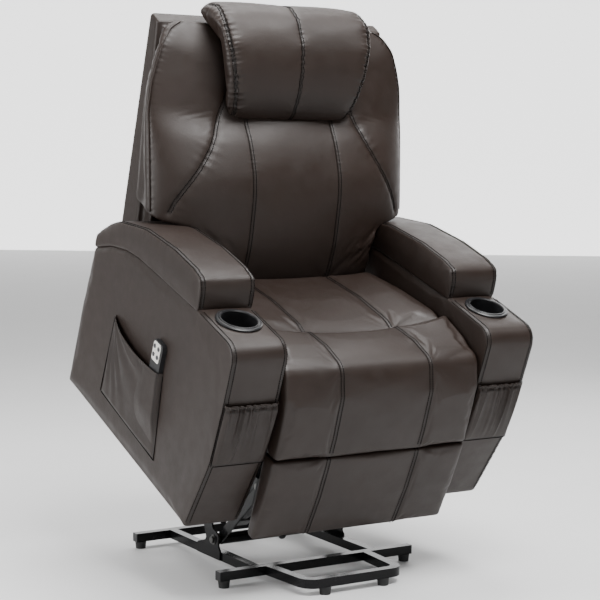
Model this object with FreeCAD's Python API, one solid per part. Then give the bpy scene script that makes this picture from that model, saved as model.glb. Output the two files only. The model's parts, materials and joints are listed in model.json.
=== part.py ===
"""Lift recliner chair: steel lift base, tilting upper chair, reclining back and fold-out leg rest.

Millimetres, +Z up, the chair faces -Y. Seen from the front +X is to the right, and left and
right in the names are as seen from the front too. The rest pose is the raised one, with the whole
upper chair tipped forward to help the sitter up. Everything on the upper chair is drawn level, in
chair coordinates whose origin is the front bottom corner of the arms, and raise_chair() then
carries it to its raised place on the base.
"""
import FreeCAD, Part
import math
import os

from FreeCAD import Vector

# ---- Driving dimensions: the whole chair ----
CHAIR_HALF = 470.0           # half the width over the arms
ARM_INNER = 310.0            # inner face of each arm
TILT_DEG = 21.6              # forward tip of the raised chair
RAISED_AT = (-358.5, 203.4)  # y, z of the chair's origin when raised, from the middle of the base
LOWERED_AT = (-445.0, 52.0)  # the same when lowered

# ---- Base ----
TUBE = 25.0                  # square tube of the floor frame
TUBE_WALL = 2.0
FOOT_HEIGHT = 20.6
CROSSBAR_HALF = 312.0
CROSSBAR_Y = 251.5
RAIL_X = 192.0
LOOP_X = 159.0               # where the loop's bars start, and where they end in front
LOOP_FRONT_X = 145.0
LOOP_Y = -440.0              # centre line of the loop's front bar
LOOP_FOOT_X = 93.0
FOOT_RADII = (14.5, 16.5)    # on the floor and under the tube
TUBE_TOP = FOOT_HEIGHT + TUBE

# ---- Lift linkage ----
LOWER_BASE_PIVOT = (-36.0, 75.0)
UPPER_BASE_PIVOT = (0.0, 150.0)
LOW_PIVOT_HEIGHT = 78.0      # height of the lower links' front pivots when lowered
UPPER_POLE_RADIUS = 550.0    # how far the upper links' front pivots lie from the tilt's pole
LINK_X = (186.0, 192.0)
RISER_X = (204.5, 209.5)
LINK_RADIUS = 14.0
PIN_RADIUS = 6.0
RUNNING = 0.05               # radial clearance of a pin in its bore
LEVER_LENGTH = 160.0
LEVER_LOWERED_DEG = 100.0
LIFT_MOTOR_PIVOT = (235.0, 85.0)

# ---- Seat frame, in chair coordinates (y, z) ----
SIDE_PLATE_X = (299.0, 303.0)
LEG_AXIS = (-5.0, 397.0)
BACK_AXIS = (610.0, 330.0)
FRONT_TUBE = (115.0, 228.0)
REAR_TUBE = (600.0, 185.0)
TUBE_RADIUS = 15.0
FRAME_BOLTS = [(150.0, 300.0), (300.0, 300.0), (450.0, 300.0)]   # through side plate and arm
FRAME_BOLT_RADIUS = 5.0
HINGE_PIN_RADIUS = 8.0       # leg rest and back
LIFT_BRACKET_X = (197.0, 202.0)
DECK_Z = (344.0, 358.0)

# ---- Leg rest and back ----
ROLL_RADIUS = 85.0
LEG_SWING_DEG = 82.0
BACK_SWING_DEG = 38.0
LEG_LUG = (20.0, 285.0)
LEG_MOTOR_PIVOT = (560.0, 235.0)
BACK_LUG = (620.0, 225.0)
BACK_MOTOR_PIVOT = (143.0, 248.0)
LEG_MOTOR_X = 80.0
BACK_MOTOR_X = -80.0
WING_CLEARANCE_RADIUS = 272.0   # nothing on the back that is wider than the seat comes nearer its axis

# ---- Arms and fittings ----
CUP_AT = (390.0, 79.0, 549.5)   # x, y, z of the centre of each cup ring's seat
CUP_RADIUS = 46.0
CUP_DEPTH = 70.0
CUP_HOLE_RADIUS = 51.0
ARM_BLOCK_TOP = 470.0           # the arm's block ends here and its deck starts
DECK_START = 470.4
BOLT_END_X = 322.0              # how far the frame bolts reach into each arm
POUCH_X = 490.0                 # outer face of the side pocket

# ---- Handset: centres of its buttons, in chair coordinates (y, z) ----
BUTTONS = {"button_raise": (275.0, 374.0), "button_lower": (275.0, 350.0),
           "button_recline": (297.0, 374.0), "button_sit_up": (297.0, 350.0)}
BUTTON_RADIUS = 6.0
HANDSET_X = (-486.0, -471.5)
FACEPLATE_X = (-487.5, -486.0)

parts = {}


# ---- Shape helpers ----
def box(x, y, z):
    """A box from three (low, high) pairs."""
    return Part.makeBox(x[1] - x[0], y[1] - y[0], z[1] - z[0], Vector(x[0], y[0], z[0]))


def rod(at, radius, x):
    """A cylinder along X, centred on at = (y, z), from x[0] to x[1]."""
    return Part.makeCylinder(radius, x[1] - x[0], Vector(x[0], at[0], at[1]), Vector(1, 0, 0))


def ring(at, outer, inner, x):
    """A round tube along X."""
    return rod(at, outer, x).cut(rod(at, inner, x))


def side_view(a, b):
    """The point of a side view outline."""
    return Vector(0, a, b)


def plan_view(a, b):
    """The point of a plan view outline."""
    return Vector(a, b, 0)


def outline(points, view=side_view):
    """A flat face; each point is (a, b) or (a, b, radius of its rounded corner)."""
    corners = [view(p[0], p[1]) for p in points]
    edges, starts, ends = [], [], []
    for i, point in enumerate(points):
        here, before, after = corners[i], corners[i - 1], corners[(i + 1) % len(points)]
        if len(point) == 2:
            starts.append(here)
            ends.append(here)
            continue
        back = (before - here).normalize()
        ahead = (after - here).normalize()
        half = back.getAngle(ahead) / 2
        reach = point[2] / math.tan(half)
        middle = here + (back + ahead).normalize() * (point[2] / math.sin(half) - point[2])
        starts.append(here + back * reach)
        ends.append(here + ahead * reach)
        edges.append(Part.Arc(starts[-1], middle, ends[-1]).toShape())
    for i, end in enumerate(ends):
        start = starts[(i + 1) % len(points)]
        if end.distanceToPoint(start) > 1e-6:
            edges.append(Part.LineSegment(end, start).toShape())
    return Part.Face(Part.Wire(Part.__sortEdges__(edges)))


def slab(points, x):
    """A side view outline made solid from x[0] to x[1]."""
    face = outline(points)
    face.translate(Vector(x[0], 0, 0))
    return face.extrude(Vector(x[1] - x[0], 0, 0))


def bar(start, end, radius, x):
    """A flat link with round ends between two (y, z) points."""
    a, b = side_view(*start), side_view(*end)
    along = (b - a).normalize() * radius
    across = Vector(0, -along.z, along.y)
    edges = [
        Part.LineSegment(a + across, b + across).toShape(),
        Part.Arc(b + across, b + along, b - across).toShape(),
        Part.LineSegment(b - across, a - across).toShape(),
        Part.Arc(a - across, a - along, a + across).toShape(),
    ]
    face = Part.Face(Part.Wire(edges))
    face.translate(Vector(x[0], 0, 0))
    return face.extrude(Vector(x[1] - x[0], 0, 0))


def mirrored(shape):
    """The same piece on the other side of the chair."""
    return shape.mirror(Vector(0, 0, 0), Vector(1, 0, 0))


def raise_chair(shape):
    """Carry a shape from chair coordinates to its raised place."""
    placed = shape.copy()
    placed.rotate(Vector(0, 0, 0), Vector(1, 0, 0), TILT_DEG)
    placed.translate(Vector(0, *RAISED_AT))
    return placed


def add(name, *solids):
    """Keep solids that stand on the base's coordinates as one node."""
    parts[name] = solids[0] if len(solids) == 1 else Part.makeCompound(list(solids))


def add_chair(name, *solids):
    """Keep solids drawn in chair coordinates as one node."""
    add(name, *[raise_chair(s) for s in solids])


def add_pair(name, *solids, chair=False):
    """Keep a right-hand piece and its mirror image as two nodes."""
    keep = add_chair if chair else add
    keep(name + "_right", *solids)
    keep(name + "_left", *[mirrored(s) for s in solids])


# ---- The lift linkage, worked out from its two end positions ----
def turned(point, degrees):
    """A (y, z) vector turned about X."""
    c, s = math.cos(math.radians(degrees)), math.sin(math.radians(degrees))
    return (point[0] * c - point[1] * s, point[0] * s + point[1] * c)


def raised(point):
    """Where a chair point lies when the chair is raised."""
    y, z = turned(point, TILT_DEG)
    return (y + RAISED_AT[0], z + RAISED_AT[1])


def lowered(point):
    """Where a chair point lies when the chair is lowered."""
    return (point[0] + LOWERED_AT[0], point[1] + LOWERED_AT[1])


def tilt_pole():
    """The point about which one turn would carry the lowered chair to its raised place."""
    c, s = math.cos(math.radians(TILT_DEG)), math.sin(math.radians(TILT_DEG))
    dy, dz = RAISED_AT[0] - LOWERED_AT[0], RAISED_AT[1] - LOWERED_AT[1]
    size = (1 - c) ** 2 + s ** 2
    return lowered((((1 - c) * dy - s * dz) / size, (s * dy + (1 - c) * dz) / size))


def heading(start, end):
    """The angle of the line between two (y, z) points, in degrees."""
    return math.degrees(math.atan2(end[1] - start[1], end[0] - start[0]))


def chair_pivot(base_pivot, pole_radius=None, lowered_height=None):
    """A chair point that stays at one distance from base_pivot at both ends of the lift."""
    pole = tilt_pole()
    angle = math.radians(heading(pole, base_pivot) - TILT_DEG / 2)
    if pole_radius is None:
        pole_radius = (lowered_height - pole[1]) / math.sin(angle)
    y = pole[0] + pole_radius * math.cos(angle) - LOWERED_AT[0]
    z = pole[1] + pole_radius * math.sin(angle) - LOWERED_AT[1]
    return (y, z)


LOWER_CHAIR_PIVOT = chair_pivot(LOWER_BASE_PIVOT, lowered_height=LOW_PIVOT_HEIGHT)
UPPER_CHAIR_PIVOT = chair_pivot(UPPER_BASE_PIVOT, pole_radius=UPPER_POLE_RADIUS)
LIFT_SWING_DEG = (heading(LOWER_BASE_PIVOT, lowered(LOWER_CHAIR_PIVOT)) % 360
                  - heading(LOWER_BASE_PIVOT, raised(LOWER_CHAIR_PIVOT)) % 360)


def lever_tip(degrees):
    """The lift lever's pin with the lever at an angle."""
    y, z = turned((LEVER_LENGTH, 0.0), degrees)
    return (y + LOWER_BASE_PIVOT[0], z + LOWER_BASE_PIVOT[1])


LEVER_LOWERED = lever_tip(LEVER_LOWERED_DEG)
LEVER_RAISED = lever_tip(LEVER_LOWERED_DEG - LIFT_SWING_DEG)


def about(axis, point, degrees):
    """A (y, z) point turned about an axis."""
    y, z = turned((point[0] - axis[0], point[1] - axis[1]), degrees)
    return (y + axis[0], z + axis[1])


LEG_LUG_OUT = about(LEG_AXIS, LEG_LUG, -LEG_SWING_DEG)
BACK_LUG_DOWN = about(BACK_AXIS, BACK_LUG, -BACK_SWING_DEG)


# ---- Base ----
def square_tube(x, y, z):
    """A straight tube lying along X (if longer that way) or along Y, with open ends."""
    outer = box(x, y, z)
    wall = TUBE_WALL
    if x[1] - x[0] > y[1] - y[0]:
        return outer.cut(box(x, (y[0] + wall, y[1] - wall), (z[0] + wall, z[1] - wall)))
    return outer.cut(box((x[0] + wall, x[1] - wall), y, (z[0] + wall, z[1] - wall)))


def front_loop():
    """The bowed bar that reaches forward under the leg rest."""
    start = -CROSSBAR_Y - TUBE / 2

    def layer(inset, z):
        half = TUBE / 2 - inset
        out, out_front = LOOP_X + half, LOOP_FRONT_X + half
        inn, inn_front = LOOP_X - half, LOOP_FRONT_X - half
        front, back = LOOP_Y - half, LOOP_Y + half
        face = outline([(-out, start), (-out_front, front, 45 - inset), (out_front, front, 45 - inset),
                        (out, start), (inn, start), (inn_front, back, 20 + inset),
                        (-inn_front, back, 20 + inset), (-inn, start)], plan_view)
        face.translate(Vector(0, 0, z[0]))
        return face.extrude(Vector(0, 0, z[1] - z[0]))

    return layer(0, (FOOT_HEIGHT, TUBE_TOP)).cut(
        layer(TUBE_WALL, (FOOT_HEIGHT + TUBE_WALL, TUBE_TOP - TUBE_WALL)))


def end_cap():
    """A plastic plug for an open crossbar end."""
    y, z = CROSSBAR_Y, FOOT_HEIGHT + TUBE / 2
    flange = box((CROSSBAR_HALF, CROSSBAR_HALF + 2.5), (y - 12.5, y + 12.5), (z - 12.5, z + 12.5))
    plug = box((CROSSBAR_HALF - 12, CROSSBAR_HALF), (y - 10.3, y + 10.3), (z - 10.3, z + 10.3))
    return flange.fuse(plug)


def pivot_bolt(at):
    """A shoulder bolt through riser, spacer and link, with washer, spacer and nut."""
    bolt = rod(at, PIN_RADIUS, (176, RISER_X[1] + 2)).fuse(rod(at, 9.5, (RISER_X[1] + 2, RISER_X[1] + 8)))
    washer = ring(at, 14, PIN_RADIUS + RUNNING, (RISER_X[1], RISER_X[1] + 1.9))
    spacer = ring(at, 10, PIN_RADIUS + RUNNING, (LINK_X[1] + 0.4, RISER_X[0]))
    nut = ring(at, 9.5, PIN_RADIUS + RUNNING, (177, LINK_X[0] - 0.4))
    return [bolt, washer, spacer, nut]


def build_base():
    tube_y = (CROSSBAR_Y - TUBE / 2, CROSSBAR_Y + TUBE / 2)
    tube_z = (FOOT_HEIGHT, TUBE_TOP)
    span = (-CROSSBAR_HALF, CROSSBAR_HALF)
    add("base_rear_crossbar", square_tube(span, tube_y, tube_z))
    add("base_front_crossbar", square_tube(span, (-tube_y[1], -tube_y[0]), tube_z))
    rail = square_tube((RAIL_X - TUBE / 2, RAIL_X + TUBE / 2), (-tube_y[0], tube_y[0]), tube_z)
    add_pair("base_side_rail", rail)
    add("base_front_loop", front_loop())
    feet = [(x, y) for x in (-295, 295) for y in (-CROSSBAR_Y, CROSSBAR_Y)]
    feet += [(-LOOP_FOOT_X, LOOP_Y), (LOOP_FOOT_X, LOOP_Y)]
    add("base_feet", *[Part.makeCone(*FOOT_RADII, FOOT_HEIGHT, Vector(x, y, 0)) for x, y in feet])
    rear = end_cap()
    front = rear.copy()
    front.translate(Vector(0, -2 * CROSSBAR_Y, 0))
    add("crossbar_end_caps", rear, front, mirrored(rear), mirrored(front))
    riser = slab([(-72, 22), (60, 22), (60, 52, 8), (4, 68, 12), (26, 120), (26, 174, 20), (-22, 174, 20),
                  (-28, 108, 12), (-66, 92, 14), (-62, 58, 14), (-72, 50, 6)], RISER_X)
    for pivot in (LOWER_BASE_PIVOT, UPPER_BASE_PIVOT):
        riser = riser.cut(rod(pivot, PIN_RADIUS + RUNNING, RISER_X))
    add_pair("riser_plate", riser)
    bolts = pivot_bolt(LOWER_BASE_PIVOT) + pivot_bolt(UPPER_BASE_PIVOT)
    add("base_pivot_bolts", *(bolts + [mirrored(b) for b in bolts]))
    ear = slab([(264, TUBE_TOP), (239, TUBE_TOP), (221, 72, 6), (221, 99, 12), (249, 99, 12),
                (264, 60, 6)], (15, 20))
    cross_pin = rod(LIFT_MOTOR_PIVOT, PIN_RADIUS, (-22, 22))
    add("lift_motor_bracket", ear.fuse([mirrored(ear), cross_pin]))


# ---- Lift links ----
def build_links():
    tip = raised(LOWER_CHAIR_PIVOT)
    lower = bar(LOWER_BASE_PIVOT, tip, LINK_RADIUS, LINK_X)
    for pivot in (LOWER_BASE_PIVOT, tip):
        lower = lower.cut(rod(pivot, PIN_RADIUS + RUNNING, LINK_X))
    add_pair("lower_link", lower)
    upper_tip = raised(UPPER_CHAIR_PIVOT)
    upper = bar(UPPER_BASE_PIVOT, upper_tip, LINK_RADIUS, LINK_X)
    upper = upper.cut(rod(UPPER_BASE_PIVOT, PIN_RADIUS + RUNNING, LINK_X))
    upper = upper.cut(rod(upper_tip, PIN_RADIUS + 4, LINK_X))
    add_pair("upper_link", upper)
    add("lift_torque_tube", ring(LOWER_BASE_PIVOT, 16, 12.5, (-LINK_X[0], LINK_X[0])))
    plate = bar(LOWER_BASE_PIVOT, LEVER_RAISED, 13, (12, 17)).fuse(rod(LOWER_BASE_PIVOT, 24, (12, 17)))
    plate = plate.cut(rod(LOWER_BASE_PIVOT, 16, (12, 17)))
    plate = plate.cut(rod(LEVER_RAISED, PIN_RADIUS + RUNNING, (12, 17)))
    add("lift_lever", plate)


# ---- Linear actuators ----
def actuator(pivot, end, x, travel, retracts):
    """Motor housing and rod of a linear actuator from its pivot to its rod pin, both (y, z)."""
    length = math.hypot(end[0] - pivot[0], end[1] - pivot[1])
    shortest = length - travel if retracts else length
    tube_end = shortest - 22
    rod_start = tube_end - 20 - (0 if retracts else travel)

    def along(solid):
        solid.rotate(Vector(0, 0, 0), Vector(1, 0, 0), heading(pivot, end))
        solid.translate(Vector(x, pivot[0], pivot[1]))
        return solid

    def lengthwise(radius, start, stop, z=0):
        return Part.makeCylinder(radius, stop - start, Vector(0, start, z), Vector(0, 1, 0))

    eye = rod((0, 0), 12, (-11, 11)).fuse(box((-11, 11), (0, 28), (-12, 12)))
    gearbox = box((-24, 24), (26, 64), (-20, 62))
    motor = lengthwise(21, 64, 150, 38)
    tube = lengthwise(16, 64, tube_end)
    housing = eye.fuse([gearbox, motor, tube])
    housing = housing.cut(lengthwise(10 + RUNNING, 58, tube_end + 1))
    housing = housing.cut(rod((0, 0), PIN_RADIUS + RUNNING, (-12, 12)))
    plunger = lengthwise(10, rod_start, length - 6).fuse(rod((length, 0), 12, (-10, 10)))
    plunger = plunger.fuse(rod((length, 0), PIN_RADIUS, (-12, 11.5)))
    return along(housing), along(plunger)


def build_lift_actuator():
    travel = math.dist(LIFT_MOTOR_PIVOT, LEVER_LOWERED) - math.dist(LIFT_MOTOR_PIVOT, LEVER_RAISED)
    housing, plunger = actuator(LIFT_MOTOR_PIVOT, LEVER_RAISED, 0, travel, False)
    add("lift_motor", housing)
    add("lift_rod", plunger)


# ---- Seat frame ----
def side_plate():
    plate = slab([(-24, 379, 16), (20, 372), (62, 250, 12), (540, 250, 12), (575, 160, 12),
                  (640, 160, 12), (640, 352, 20), (560, 374, 12), (60, 374, 12), (14, 417, 16),
                  (-24, 417, 16)], SIDE_PLATE_X)
    plate = plate.cut(rod(LEG_AXIS, HINGE_PIN_RADIUS + RUNNING, SIDE_PLATE_X))
    for at in FRAME_BOLTS:
        plate = plate.cut(rod(at, FRAME_BOLT_RADIUS + RUNNING, SIDE_PLATE_X))
    return plate.cut(rod(BACK_AXIS, HINGE_PIN_RADIUS + RUNNING, SIDE_PLATE_X))


def lift_bracket():
    plate = slab([(88, 10, 12), (126, 10, 12), (166, 58, 12), (150, 290, 12), (88, 290, 12)], LIFT_BRACKET_X)
    plate = plate.cut(rod(FRONT_TUBE, TUBE_RADIUS, LIFT_BRACKET_X))
    for pivot in (LOWER_CHAIR_PIVOT, UPPER_CHAIR_PIVOT):
        plate = plate.cut(rod(pivot, PIN_RADIUS + RUNNING, LIFT_BRACKET_X))
    return plate


def chair_bolt(at):
    """The bolt that carries a link's front end on the lift bracket."""
    bolt = rod(at, PIN_RADIUS, (178, LIFT_BRACKET_X[1])).fuse(rod(at, 9.5, (LIFT_BRACKET_X[1], 208)))
    bolt = bolt.fuse(rod(at, 9.5, (LINK_X[1] + 0.5, LIFT_BRACKET_X[0])))
    nut = ring(at, 9.5, PIN_RADIUS + RUNNING, (179, LINK_X[0] - 0.5))
    return [bolt, nut]


def motor_ears(tube_at, pivot, x):
    """Two ears and a pin that carry an actuator on a cross tube."""
    left = bar(tube_at, pivot, 14, (x - 17, x - 12.5))
    right = bar(tube_at, pivot, 14, (x + 12.5, x + 17))
    return left.fuse([right, rod(pivot, PIN_RADIUS, (x - 19, x + 19))])


def cross_tube(at, pivot, x):
    span = (-SIDE_PLATE_X[0], SIDE_PLATE_X[0])
    ears = motor_ears(at, pivot, x).cut(rod(at, TUBE_RADIUS - 1, span))
    return ring(at, TUBE_RADIUS, TUBE_RADIUS - 2, span).fuse(ears)


def build_seat_frame():
    add_pair("seat_side_plate", side_plate(), chair=True)
    add_pair("lift_bracket", lift_bracket(), chair=True)
    bolts = chair_bolt(LOWER_CHAIR_PIVOT) + chair_bolt(UPPER_CHAIR_PIVOT)
    add_chair("chair_pivot_bolts", *(bolts + [mirrored(b) for b in bolts]))
    add_chair("front_cross_tube", cross_tube(FRONT_TUBE, BACK_MOTOR_PIVOT, BACK_MOTOR_X))
    add_chair("rear_cross_tube", cross_tube(REAR_TUBE, LEG_MOTOR_PIVOT, LEG_MOTOR_X))
    add_chair("seat_deck", box((-285, 285), (30, 565), DECK_Z))
    pin = rod(BACK_AXIS, HINGE_PIN_RADIUS, (290, 305.5)).fuse(rod(BACK_AXIS, 12, (303.2, 306.5)))
    pin = pin.fuse(rod(BACK_AXIS, 12, (288.5, 291.6)))
    add_chair("recline_pins", pin, mirrored(pin))
    bolts = []
    for at in FRAME_BOLTS:
        shank = rod(at, FRAME_BOLT_RADIUS, (299, BOLT_END_X)).fuse(rod(at, 9, (294, 299)))
        bolts += [shank, ring(at, 9, FRAME_BOLT_RADIUS + RUNNING, (SIDE_PLATE_X[1], ARM_INNER))]
    add_chair("frame_bolts", *(bolts + [mirrored(b) for b in bolts]))
    control = box((120, 220), (300, 420), (302, DECK_Z[0]))
    control = control.cut(box((150, 180), (408, 421), (312, 332)))
    add_chair("control_box", control)


# ---- Seat and leg rest ----
def build_seat():
    add_chair("seat_cushion", slab([(128, 360, 20), (128, 468, 14), (170, 492, 30), (320, 478),
                                    (498, 450, 25), (512, 360, 15)], (-290, 290)))
    reach = (-289.5, 289.5)
    nose = rod(LEG_AXIS, ROLL_RADIUS, reach).common(box(reach, (-100, LEG_AXIS[0]), (368, 500)))
    tail = box(reach, (LEG_AXIS[0], 126), (DECK_Z[1] + 1, LEG_AXIS[1] + ROLL_RADIUS))
    add_chair("seat_front_roll", nose.fuse(tail).cut(rod(LEG_AXIS, 12.8, reach)))
    axle = ring(LEG_AXIS, 12.7, 10, reach)
    stub = rod(LEG_AXIS, HINGE_PIN_RADIUS, (280, 304)).fuse(rod(LEG_AXIS, 10, (280, 289.5)))
    clip = ring(LEG_AXIS, 12, HINGE_PIN_RADIUS + RUNNING, (SIDE_PLATE_X[1] + 0.3, 304))
    add_chair("leg_pivot_tube", axle.fuse([stub, mirrored(stub)]), clip, mirrored(clip))


def build_leg_rest():
    add_chair("leg_board", box((-290, 290), (-24, -10), (25, 310)))
    arm_x = (290.5, 294.5)
    arm = bar(LEG_AXIS, (-11, 150), 12, arm_x).fuse(rod(LEG_AXIS, 17, arm_x))
    arm = arm.cut(rod(LEG_AXIS, HINGE_PIN_RADIUS + RUNNING, arm_x))
    brace = box((-294.5, 294.5), (-9.5, 2), (272, 286))
    lug_x = (LEG_MOTOR_X + 12, LEG_MOTOR_X + 17)
    lug = bar((3, LEG_LUG[1]), LEG_LUG, 12, lug_x).cut(rod(LEG_LUG, PIN_RADIUS + RUNNING, lug_x))
    add_chair("leg_frame", arm.fuse([mirrored(arm), brace, lug]))
    pad_x = (-298, 298)
    upper = slab([(-24, 400), (-24, 234), (-60, 240, 20), (-89, 262, 25), (-89, 400)], pad_x)
    add_chair("upper_leg_pad", upper.cut(rod(LEG_AXIS, ROLL_RADIUS + 1.5, pad_x)))
    add_chair("lower_leg_pad", slab([(-24, 230), (-24, -12), (-66, -15, 14), (-85, 205, 25), (-60, 226, 20)],
                                    pad_x))
    travel = math.dist(LEG_MOTOR_PIVOT, LEG_LUG_OUT) - math.dist(LEG_MOTOR_PIVOT, LEG_LUG)
    housing, plunger = actuator(LEG_MOTOR_PIVOT, LEG_LUG, LEG_MOTOR_X, travel, False)
    add_chair("leg_motor", housing)
    add_chair("leg_rod", plunger)


# ---- Back ----
def above_arms(x):
    """Everything on the back that may be wider than the seat."""
    return box(x, (500, 1000), (380, 1200)).cut(rod(BACK_AXIS, WING_CLEARANCE_RADIUS, x))


def back_shell():
    front = [(716, 560), (740, 240)]
    wide_x, narrow_x = (-365, 365), (-291, 291)
    top = [(720, 440), (823, 1083, 6), (877, 1096, 14), (828, 440)]
    wide = slab(top, wide_x).common(above_arms(wide_x))
    low = slab([front[0], front[1], (812, 240, 10), (836, 560)], narrow_x)
    hollow = slab([(660, 380), (790, 1070), (862, 1076), (816, 380)], (-353, 353))
    hollow_low = slab([(700, 239), (700, 570), (824, 570), (801, 239)], (-300, 300))
    return wide.fuse(low).cut(hollow).cut(hollow_low)


def back_frame():
    """Two square tube uprights on hinge plates, joined by three round rails."""
    upright = slab([(700, 300), (726, 300), (848, 1060), (823, 1060)], (266, 291))
    upright = upright.cut(slab([(702, 299), (724, 299), (846, 1061), (825, 1061)], (268, 289)))
    plate_x = (292, 296)
    plate = slab([(588, 308, 20), (700, 300), (742, 300), (758, 440), (716, 440), (588, 352, 20)], plate_x)
    plate = plate.cut(rod(BACK_AXIS, HINGE_PIN_RADIUS + RUNNING, plate_x))
    upright = upright.fuse(box((291, 292), (712, 722), (310, 420))).fuse(plate)
    rails = [ring(at, 12, 10.5, (-266, 266)) for at in ((713, 312), (770, 650), (826, 1030))]
    lug_x = (BACK_MOTOR_X + 12, BACK_MOTOR_X + 17)
    lug = bar((713, 312), BACK_LUG, 12, lug_x).cut(rod(BACK_LUG, PIN_RADIUS + RUNNING, lug_x))
    return upright.fuse([mirrored(upright), lug] + rails)


def back_cushion():
    centre = slab([(520, 444, 12), (488, 470, 12), (492, 560), (502, 614), (517, 691), (545, 760),
                   (606, 837, 30), (652, 868), (688, 950), (738, 1052, 30), (798, 1078, 12), (690, 540),
                   (680, 425, 15)], (-300, 300))
    wing_x = (-420, 420)
    wing = slab([(572, 560), (572, 622), (632, 745), (680, 885), (742, 1005, 60), (797, 1074, 12),
                 (712, 560)], wing_x)
    return centre.fuse(wing.common(above_arms(wing_x)))


def build_back():
    add_chair("back_shell", back_shell())
    add_chair("back_frame", back_frame())
    add_chair("back_cushion", back_cushion())
    add_chair("head_pillow", slab([(648, 888, 8), (630, 900, 10), (622, 960), (628, 1020), (652, 1090, 40),
                                   (705, 1150, 40), (760, 1168, 20), (828, 1152, 20), (840, 1106, 6),
                                   (798, 1090), (728, 1062, 20), (682, 958)], (-245, 245)))
    travel = math.dist(BACK_MOTOR_PIVOT, BACK_LUG) - math.dist(BACK_MOTOR_PIVOT, BACK_LUG_DOWN)
    housing, plunger = actuator(BACK_MOTOR_PIVOT, BACK_LUG, BACK_MOTOR_X, travel, True)
    add_chair("back_motor", housing)
    add_chair("back_rod", plunger)


# ---- Arms ----
def arm_frame():
    """The upholstered box of one arm: a block, and on it a deck with a hole for the cup holder."""
    width = (ARM_INNER, CHAIR_HALF)
    whole = slab([(9, 0), (-49, 215), (-58, 400), (-55, 532, 14), (0, 547, 60), (150, 551), (389, 540),
                  (504, 534), (579, 522), (672, 492), (769, 440), (788, 230), (792, 0)], width)
    block = whole.common(box(width, (-100, 800), (0, ARM_BLOCK_TOP)))
    for at in FRAME_BOLTS:
        block = block.cut(rod(at, FRAME_BOLT_RADIUS + RUNNING, (ARM_INNER, BOLT_END_X)))
    deck = whole.common(box(width, (-100, 800), (DECK_START, 560)))
    deck = deck.cut(Part.makeCylinder(CUP_HOLE_RADIUS, 100, Vector(CUP_AT[0], CUP_AT[1], DECK_START - 1)))
    return block, deck


def arm_pad():
    return slab([(151, 553), (156, 600), (168, 630, 18), (215, 638), (333, 637), (497, 618), (650, 572),
                 (695, 545), (770, 480, 15), (770, 443), (672, 494), (579, 524), (504, 536), (389, 542)],
                (ARM_INNER - 3, CHAIR_HALF + 2))


def cup_holder():
    """A flanged plastic cup with a raised inner lip that drops into the arm's deck."""
    floor = 3 - CUP_DEPTH
    profile = [(0, -CUP_DEPTH), (CUP_RADIUS + 2.5, -CUP_DEPTH), (CUP_RADIUS + 2.5, 2), (60, 2), (60, 5.5),
               (57.5, 7.5), (52.5, 7.5), (50.5, 9.5), (48, 9.5), (CUP_RADIUS, 7), (CUP_RADIUS, floor),
               (0, floor)]
    section = Part.Face(Part.makePolygon([Vector(r, 0, z) for r, z in profile + profile[:1]]))
    cup = section.revolve(Vector(0, 0, 0), Vector(0, 0, 1), 360)
    cup.translate(Vector(*CUP_AT))
    return cup


def front_pocket():
    """The pouch sewn to the front of one arm, open at the top."""
    outside = slab([(-58.3, 392), (-74, 392), (-69, 236, 20), (-49.3, 213)], (ARM_INNER + 4, CHAIR_HALF - 4))
    inside = slab([(-30, 400), (-71.2, 400), (-66.4, 238, 17), (-48, 216.5), (-30, 216.5)],
                  (ARM_INNER + 7, CHAIR_HALF - 7))
    return outside.cut(inside)


def side_pocket():
    """The pouch on the outer face of the arm that holds the handset."""
    rim = [(215, 70, 25), (577, 82, 25), (566, 326), (252, 312)]
    room = [(219, 73, 22), (573.5, 85, 22), (562.5, 340), (256, 330)]
    outside = slab(rim, (-POUCH_X, -CHAIR_HALF - 0.3))
    inside = slab(room, (-POUCH_X + 2.3, -CHAIR_HALF + 5))
    return outside.cut(inside)


def build_arms():
    add_pair("arm_frame", *arm_frame(), chair=True)
    add_pair("arm_pad", arm_pad(), chair=True)
    add_pair("cup_holder", cup_holder(), chair=True)
    add_pair("front_pocket", front_pocket(), chair=True)
    add_chair("side_pocket", side_pocket())


# ---- Handset ----
def build_handset():
    body = slab([(256, 392, 13), (256, 240, 14), (272, 217, 4), (296, 217, 4), (310, 240, 14),
                 (310, 392, 12)], HANDSET_X)
    plate = slab([(266, 388, 9), (266, 334, 6), (306, 334, 6), (306, 388, 9)], FACEPLATE_X)
    for at in BUTTONS.values():
        well = rod(at, BUTTON_RADIUS + 0.3, (FACEPLATE_X[0], HANDSET_X[0] + 4.5))
        body = body.cut(well)
        plate = plate.cut(well)
    add_chair("handset_body", body)
    add_chair("handset_faceplate", plate)
    for name, at in BUTTONS.items():
        add_chair(name, rod(at, BUTTON_RADIUS, (FACEPLATE_X[0] - 1.2, HANDSET_X[0] + 2)))


build_base()
build_links()
build_lift_actuator()
build_seat_frame()
build_seat()
build_leg_rest()
build_back()
build_arms()
build_handset()

# The origin is on the floor, under the middle of the raised chair.
bounds = Part.makeCompound(list(parts.values())).BoundBox
CENTRE_Y = round((bounds.YMin + bounds.YMax) / 2, 1)

os.makedirs("parts", exist_ok=True)
for name, shape in parts.items():
    shape.translate(Vector(0, -CENTRE_Y, 0))
    shape.exportStep("parts/" + name + ".step")
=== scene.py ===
"""Looks of the lift recliner chair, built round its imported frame.

Upholstery is drawn level, in chair coordinates (u across, v to the rear, w up, metres) whose origin is the
front bottom corner of the arms. seat_in_place() carries it to where the raised chair is in the frame.
"""
import json
import math

import bmesh
import bpy
import numpy as np
from mathutils import Matrix, Vector
from mathutils.bvhtree import BVHTree
from mathutils.kdtree import KDTree


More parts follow.
